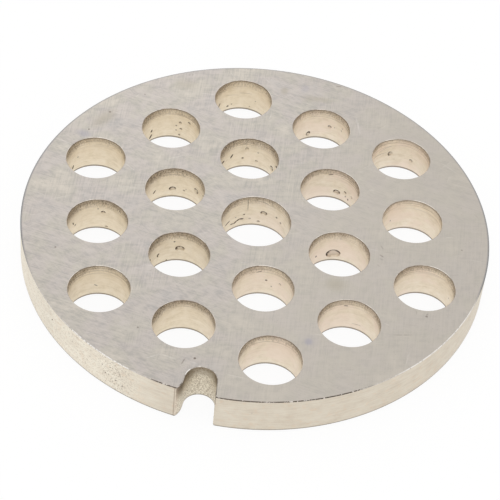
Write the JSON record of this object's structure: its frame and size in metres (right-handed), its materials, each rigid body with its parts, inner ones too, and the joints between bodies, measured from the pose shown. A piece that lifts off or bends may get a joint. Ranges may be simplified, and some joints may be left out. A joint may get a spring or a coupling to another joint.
{
  "type": "meat grinder plate",
  "caption": "Flat round perforated steel plate for a meat grinder: a centre bore, a hexagonal field of round meat holes and a key notch in the rim.",
  "frame": {"origin": "on the axis of the centre bore, at the plate's lower (cast) face", "axes": "+Z along the centre bore towards the ground face that the knife sweeps; -Y from the bore to the key notch in the rim"},
  "size_m": [0.062, 0.0619, 0.0055],
  "materials": {
    "ground_steel": "ground face, dull cast walls"
  },
  "bodies": {
    "root": {"grinder_plate": "ground_steel"}
  },
  "joints": []
}
